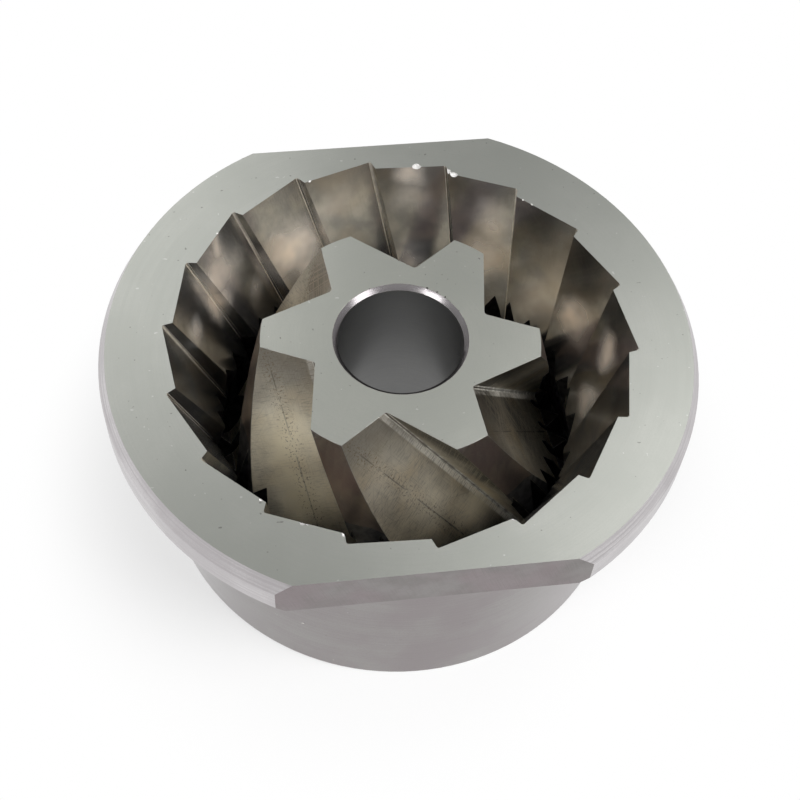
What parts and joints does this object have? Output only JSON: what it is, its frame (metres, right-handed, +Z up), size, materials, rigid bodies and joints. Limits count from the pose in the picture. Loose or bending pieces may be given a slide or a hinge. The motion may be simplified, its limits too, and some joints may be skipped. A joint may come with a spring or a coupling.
{
  "type": "coffee grinder burr set",
  "caption": "Conical coffee grinder burr set: a flanged ring burr with inner teeth, and a fluted and bored cone burr that turns inside it.",
  "frame": {"origin": "centre of the ring burr's base, on the shared axis of both burrs", "axes": "+Z up along the shared axis, from the narrow base to the flange; the flange's two flats face +Y and -Y"},
  "size_m": [0.071, 0.062, 0.0297],
  "materials": {
    "ring_steel": "satin",
    "cone_steel": "satin"
  },
  "bodies": {
    "ring": {"ring_burr": "ring_steel"},
    "cone": {"cone_burr": "cone_steel"}
  },
  "joints": [
    {"name": "cone_spin", "type": "hinge", "parent": "ring", "child": "cone", "pos_m": [0, 0, 0.015], "axis": [0, 0, 1], "continuous": true}
  ]
}
